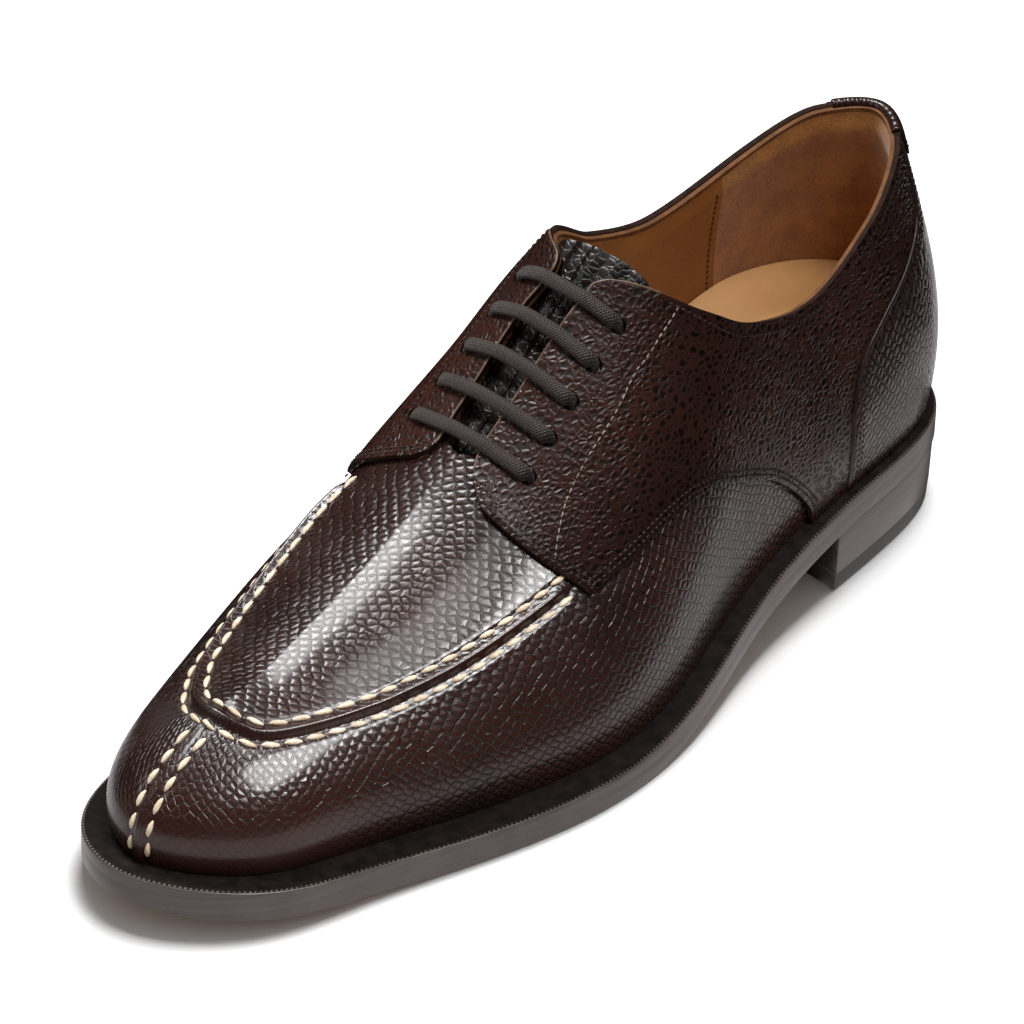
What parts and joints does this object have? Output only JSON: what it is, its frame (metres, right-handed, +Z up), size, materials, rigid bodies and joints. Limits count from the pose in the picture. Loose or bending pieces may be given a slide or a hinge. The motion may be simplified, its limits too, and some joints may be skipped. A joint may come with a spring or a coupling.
{
  "type": "split-toe apron derby shoe",
  "caption": "Left dress shoe in dark brown grained leather: open-laced derby with a raised apron seam, a split toe, five lace bars, a welted sole and a stacked heel.",
  "frame": {"origin": "bottom centre of the shoe's bounding box, on the floor", "axes": "+Y from the toe to the heel, +X to the lateral (outer) side of a left shoe, +Z up"},
  "size_m": [0.1024, 0.302, 0.112],
  "materials": {
    "upper_leather": "polished dark brown grained leather",
    "tongue_leather": "dark brown grained leather",
    "sole_leather": "dark brown waxed sole edge",
    "welt_leather": "dark brown welt",
    "heel_leather": "dark brown stacked leather",
    "lift_rubber": "matt dark rubber",
    "insole_leather": "tan leather",
    "lace": "woven waxed cotton"
  },
  "bodies": {
    "root": {"outsole": "sole_leather", "welt": "welt_leather", "heel_stack": "heel_leather", "top_lift": "lift_rubber", "insole": "insole_leather", "upper": "upper_leather", "tongue": "tongue_leather", "counter": "upper_leather", "quarter_lateral": "upper_leather", "quarter_medial": "upper_leather", "lace_bar_1": "lace", "lace_bar_2": "lace", "lace_bar_3": "lace", "lace_bar_4": "lace", "lace_bar_5": "lace"}
  },
  "joints": []
}
